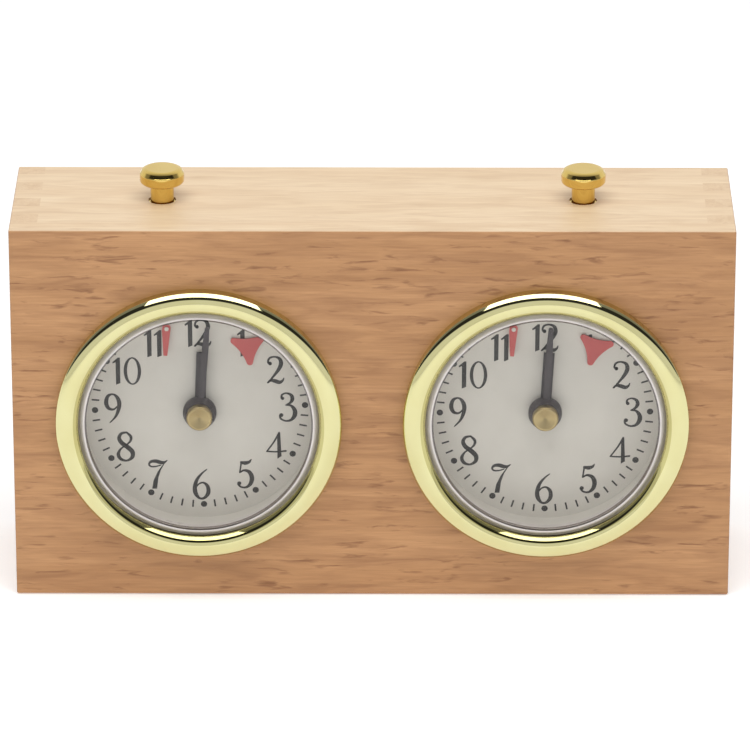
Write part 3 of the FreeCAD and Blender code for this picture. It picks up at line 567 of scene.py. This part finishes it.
def ribbon(points):
    """The outline of a stroke of changing width, with rounded ends."""
    line = [(x, y, width * STROKE_GAIN) for x, y, width in smooth(points)]
    left, right = [], []
    for k, (x, y, width) in enumerate(line):
        a, b = line[max(k - 1, 0)], line[min(k + 1, len(line) - 1)]
        heading = math.atan2(b[1] - a[1], b[0] - a[0])
        nx, ny = -math.sin(heading) * width / 2, math.cos(heading) * width / 2
        left.append((x + nx, y + ny))
        right.append((x - nx, y - ny))

    def cap(at, heading):
        x, y, width = at
        return [
            (x + width / 2 * math.cos(heading + a), y + width / 2 * math.sin(heading + a))
            for a in (math.pi / 4, 0, -math.pi / 4)
        ]

    (x0, y0, _), (x1, y1, _) = line[0], line[1]
    (x2, y2, _), (x3, y3, _) = line[-2], line[-1]
    end = cap(line[-1], math.atan2(y3 - y2, x3 - x2))
    start = cap(line[0], math.atan2(y0 - y1, x0 - x1))
    return left + end + right[::-1] + start


def disc(x, y, radius, corners=20):
    """The outline of a dot."""
    return [
        (x + radius * math.cos(math.tau * k / corners), y + radius * math.sin(math.tau * k / corners))
        for k in range(corners)
    ]


def oval(x, y, half_width, half_height, thick, thin, corners=48):
    """An upright ring with thick sides and thin ends, as quads."""
    quads = []
    for k in range(corners):
        a, b = (math.tau * i / corners for i in (k, k + 1))
        quads.append(
            [
                (x + half_width * math.cos(a), y + half_height * math.sin(a)),
                (x + half_width * math.cos(b), y + half_height * math.sin(b)),
                (x + (half_width - thick) * math.cos(b), y + (half_height - thin) * math.sin(b)),
                (x + (half_width - thick) * math.cos(a), y + (half_height - thin) * math.sin(a)),
            ]
        )
    return quads


def numeral(digit):
    """The outlines of one old-style numeral. Its box is centred across, and stands on y = 0."""
    if digit == 0:
        return oval(0, 4.2, 2.5, 4.25, 0.98, 0.42)
    if digit == 1:
        stem = [(-0.62, 0.0), (0.62, 0.5), (0.68, 8.35), (0.1, 8.4)]
        return [stem + [(-1.55, 6.95), (-1.4, 6.55), (-0.6, 6.95)]]
    if digit == 2:
        bowl = [(-1.35, 6.15, 0.9), (-1.95, 6.75, 0.55), (-1.5, 7.9, 0.55), (-0.1, 8.3, 0.5)]
        bowl += [(1.35, 7.7, 0.85), (1.75, 6.2, 1.1), (1.1, 4.5, 0.95), (-0.3, 2.5, 0.62), (-2.0, 0.35, 0.4)]
        foot = [(-2.2, 0.3, 0.35), (-1.3, 1.0, 0.7), (-0.1, 0.85, 1.05), (1.2, 0.45, 1.0), (2.1, 0.9, 0.6)]
        return [ribbon(bowl), ribbon(foot + [(2.5, 1.7, 0.3)]), disc(-1.4, 6.3, 0.52)]
    if digit == 3:
        upper = [(-1.5, 7.3, 0.7), (-1.5, 8.3, 0.5), (-0.3, 8.85, 0.45), (1.1, 8.3, 0.8), (1.5, 7.1, 1.0)]
        upper += [(0.9, 5.9, 0.7), (-0.4, 5.15, 0.35)]
        lower = [(-0.4, 5.15, 0.35), (1.1, 4.95, 0.65), (2.1, 3.6, 1.1), (2.1, 2.0, 1.15), (1.1, 0.6, 0.75)]
        lower += [(-0.5, 0.25, 0.5), (-1.9, 0.95, 0.5), (-2.1, 1.9, 0.6)]
        return [ribbon(upper), ribbon(lower), disc(-1.3, 7.25, 0.5), disc(-1.75, 2.05, 0.6)]
    if digit == 4:
        slant = [(0.9, 8.1, 0.5), (-0.6, 5.3, 0.45), (-2.6, 2.45, 0.4)]
        bar = [(-2.75, 2.3, 0.42), (0.0, 2.15, 0.42), (2.75, 2.4, 0.5)]
        stem = [(0.3, 0.0), (1.5, 0.75), (1.2, 8.2), (0.75, 8.3), (0.3, 7.1)]
        return [ribbon(slant), ribbon(bar), stem]
    if digit == 5:
        top = [(-1.0, 8.15, 0.7), (0.2, 7.95, 1.05), (1.3, 8.3, 0.75), (1.9, 9.05, 0.3)]
        rise = [(-1.0, 8.2, 0.45), (-1.2, 6.6, 0.42), (-1.45, 5.0, 0.42)]
        bowl = [(-1.45, 5.0, 0.42), (-0.2, 5.65, 0.6), (1.3, 5.1, 1.0), (2.0, 3.4, 1.2), (1.6, 1.5, 1.0)]
        bowl += [(0.3, 0.35, 0.6), (-1.2, 0.5, 0.5), (-2.0, 1.4, 0.55)]
        return [ribbon(top), ribbon(rise), ribbon(bowl), disc(-1.65, 1.6, 0.6)]
    if digit == 6:
        body = [(1.55, 9.35, 0.3), (0.1, 8.1, 0.5), (-1.3, 6.2, 0.85), (-1.95, 3.9, 1.1), (-1.75, 1.9, 1.1)]
        body += [(-0.7, 0.4, 0.65), (0.7, 0.45, 0.7), (1.85, 2.0, 1.05), (1.75, 4.0, 0.95)]
        return [ribbon(body + [(0.6, 5.2, 0.55), (-0.7, 4.9, 0.42), (-1.6, 3.8, 0.35)])]
    if digit == 7:
        loop = [(0.9, 7.35, 0.3), (-0.6, 6.95, 0.4), (-1.9, 6.95, 0.45), (-2.5, 7.6, 0.5)]
        loop += [(-1.9, 8.45, 0.75), (-0.5, 8.6, 1.0), (1.0, 8.15, 1.0), (2.0, 8.3, 0.6), (2.7, 8.8, 0.3)]
        stem = [(2.55, 8.6), (2.1, 8.0), (0.95, 6.0), (0.1, 3.5), (-0.35, 0.0), (-1.75, 0.0), (-1.3, 2.6)]
        stem += [(0.0, 5.4), (1.9, 8.2)]
        return [ribbon(loop), stem[::-1]]
    if digit == 8:
        body = [(0.4, 9.1, 0.5), (-1.1, 8.7, 0.75), (-1.75, 7.3, 1.0), (-1.0, 5.8, 1.15), (0.6, 4.5, 1.25)]
        body += [(1.95, 3.0, 1.2), (1.85, 1.3, 0.95), (0.3, 0.3, 0.55), (-1.4, 0.8, 0.85), (-2.1, 2.3, 0.9)]
        body += [(-1.3, 4.0, 0.5), (0.3, 5.2, 0.4), (1.45, 6.4, 0.6), (1.6, 7.8, 0.75), (0.4, 9.1, 0.5)]
        return [ribbon(body)]
    bowl = [(1.4, 5.2, 0.35), (0.2, 4.2, 0.55), (-1.2, 4.6, 0.9), (-1.85, 6.3, 1.1), (-1.3, 8.3, 0.85)]
    bowl += [(0.1, 8.9, 0.5), (1.3, 8.0, 0.9), (1.9, 6.2, 1.1), (1.6, 4.0, 0.95), (0.7, 1.9, 0.6)]
    bowl += [(-0.9, 0.1, 0.3)]
    return [ribbon(bowl)]


# Each digit's height, and each hour's digits with how far they sit to the right of its place
DIGIT_HEIGHT = {0: 8.4, 1: 8.4, 2: 8.4, 3: 9.1, 4: 8.2, 5: 9.2, 6: 9.5, 7: 9.0, 8: 9.4, 9: 9.2}
HOUR_LABELS = {hour: ((hour, 0.0),) for hour in range(1, 10)}
HOUR_LABELS[10] = ((1, -1.6), (0, 2.55))
HOUR_LABELS[11] = ((1, -1.6), (1, 1.25))
HOUR_LABELS[12] = ((1, -2.4), (2, 1.0))
NUMERALS_ACROSS, NUMERALS_UP, NUMERALS_DOWN = 25.0, 22.9, 23.9
DOT_RADIUS_AT, DOT_RADIUS = 30.1, 0.92
TICK_INNER, TICK_OUTER, TICK_WIDTH = 28.9, 31.1, 0.5
DIAL_FRONT, PRINT_THICK = -16.5, 0.02

# How far each print is turned, in degrees, and how far it sits below the bezel's middle, in millimetres
PRINT_LEAN = {"left": 1.6, "right": 0.4}
NUMERALS_LEAN = {"left": 0.5, "right": 0.0}
PRINT_DROP = {"left": -0.5, "right": 0.7}


def dial_print(side):
    """Numerals, hour dots and minute strokes, a thin film of ink on the dial."""
    centre = CLOCK_AT[side]
    mesh = bmesh.new()

    def lay(points, lean):
        """Turns an outline with the print, and lays it on the dial as a thin plate."""
        c, s = math.cos(math.radians(lean)), math.sin(math.radians(lean))
        placed = []
        for x, y in points:
            u = x * c - y * s
            v = x * s + y * c - PRINT_DROP[side]
            placed.append((centre.x + u * MM, centre.z + v * MM))
        prism(mesh, placed, (DIAL_FRONT - PRINT_THICK) * MM, DIAL_FRONT * MM)

    for hour, digits in HOUR_LABELS.items():
        angle = math.radians(90 - 30 * hour)
        reach = NUMERALS_UP if math.sin(angle) > 0 else NUMERALS_DOWN
        x0, y0 = NUMERALS_ACROSS * math.cos(angle), reach * math.sin(angle)
        dot = disc(DOT_RADIUS_AT * math.cos(angle), DOT_RADIUS_AT * math.sin(angle), DOT_RADIUS)
        lay(dot, PRINT_LEAN[side])
        for digit, shift in digits:
            for points in numeral(digit):
                low = y0 - DIGIT_HEIGHT[digit] / 2
                lay([(x0 + shift + x, low + y) for x, y in points], NUMERALS_LEAN[side])
    for minute in range(60):
        if minute % 5:
            angle = math.radians(90 - 6 * minute)
            c, s = math.cos(angle), math.sin(angle)
            half = TICK_WIDTH / 2
            corners = ((TICK_INNER, -half), (TICK_OUTER, -half), (TICK_OUTER, half), (TICK_INNER, half))
            lay([(r * c - w * s, r * s + w * c) for r, w in corners], PRINT_LEAN[side])
    finish_mesh(f"{side}_dial_print", mesh, "ink", "case")


# Stage

CAMERA_AT = Vector((8.0, -1626.0, 725.8)) * MM
CAMERA_DOWN = math.radians(22.34)
CAMERA_TURN = math.radians(0.259)
CAMERA_LENS = 292.3
FLOOR_HALF, FLOOR_DROP = 3.0, 0.0002


def floor():
    """A plain pale square just below the clock's base, lit a little from itself so that it stays white."""
    mesh = bmesh.new()
    ends = ((-1, -1), (1, -1), (1, 1), (-1, 1))
    corners = [mesh.verts.new((x * FLOOR_HALF, y * FLOOR_HALF, -FLOOR_DROP)) for x, y in ends]
    mesh.faces.new(corners)
    data = bpy.data.meshes.new("floor")
    mesh.to_mesh(data)
    mesh.free()
    s = Shader("floor_white")
    cloth = s.noise((300, 300, 300), detail=2)
    s.colour(s.mix(s.ramp(cloth, 0.3, 0.7), (0.93, 0.93, 0.93), (0.92, 0.92, 0.92)))
    s.set(Roughness=0.9, Specular_IOR_Level=0.1, Emission_Strength=0.27)
    s.surface.inputs["Emission Color"].default_value = (1.0, 1.0, 1.0, 1.0)
    data.materials.append(s.material)
    obj = bpy.data.objects.new("floor", data)
    bpy.context.scene.collection.objects.link(obj)


def softbox(name, at, towards, width, height, power):
    """A rectangular area light, with its size in metres and its power in watts."""
    light = bpy.data.lights.new(name, "AREA")
    light.shape = "RECTANGLE"
    light.size, light.size_y = width, height
    light.energy = power
    obj = bpy.data.objects.new(name, light)
    obj.location = at
    obj.rotation_euler = (Vector(towards) - Vector(at)).to_track_quat("-Z", "Y").to_euler()
    bpy.context.scene.collection.objects.link(obj)


def studio_world():
    """A pale sweep low in front and behind, a dark gap above the front, and a dim ceiling."""
    world = bpy.data.worlds.new("studio")
    bpy.context.scene.world = world
    world.use_nodes = True
    tree = world.node_tree
    place = tree.nodes.new("ShaderNodeTexCoord")
    split = tree.nodes.new("ShaderNodeSeparateXYZ")
    tree.links.new(place.outputs["Generated"], split.inputs["Vector"])
    forward = tree.nodes.new("ShaderNodeMath")
    forward.operation = "MULTIPLY"
    forward.inputs[1].default_value = -1.0
    tree.links.new(split.outputs["Y"], forward.inputs[0])
    pitch = tree.nodes.new("ShaderNodeMath")
    pitch.operation = "ARCTAN2"
    tree.links.new(split.outputs["Z"], pitch.inputs[0])
    tree.links.new(forward.outputs["Value"], pitch.inputs[1])
    share = tree.nodes.new("ShaderNodeMath")
    share.operation = "DIVIDE"
    share.inputs[1].default_value = math.pi
    tree.links.new(pitch.outputs["Value"], share.inputs[0])

    # Degrees up from the front, over the top and down to the back, with the brightness there
    ramp = tree.nodes.new("ShaderNodeValToRGB")
    stops = ((0, 0.85), (29, 0.85), (32, 0.03), (58, 0.03), (64, 0.25), (100, 0.3), (135, 0.9), (180, 0.95))
    while len(ramp.color_ramp.elements) < len(stops):
        ramp.color_ramp.elements.new(0.5)
    for element, (degrees, level) in zip(ramp.color_ramp.elements, stops):
        element.position = degrees / 180
        element.color = (level, level, level, 1.0)
    tree.links.new(share.outputs["Value"], ramp.inputs["Fac"])
    tree.links.new(ramp.outputs["Color"], tree.nodes["Background"].inputs["Color"])


def stage():
    """The floor, the lights and the camera of the main view."""
    floor()
    studio_world()
    softbox("overhead", (0.0, -0.55, 1.5), (0.0, 0.0, 0.0), 1.8, 1.0, 19.5)
    camera = bpy.data.objects.new("camera", bpy.data.cameras.new("camera"))
    camera.location = CAMERA_AT
    camera.rotation_euler = (math.pi / 2 - CAMERA_DOWN, 0.0, CAMERA_TURN)
    camera.data.lens = CAMERA_LENS
    camera.data.sensor_width = 36.0
    camera.data.clip_end = 20.0
    bpy.context.scene.collection.objects.link(camera)
    bpy.context.scene.camera = camera
    bpy.context.scene.view_settings.view_transform = "Standard"


dress_nodes()
for side in SIDES:
    bezel(side)
    crystal(side)
    plunger(side)
    dial_print(side)
stage()
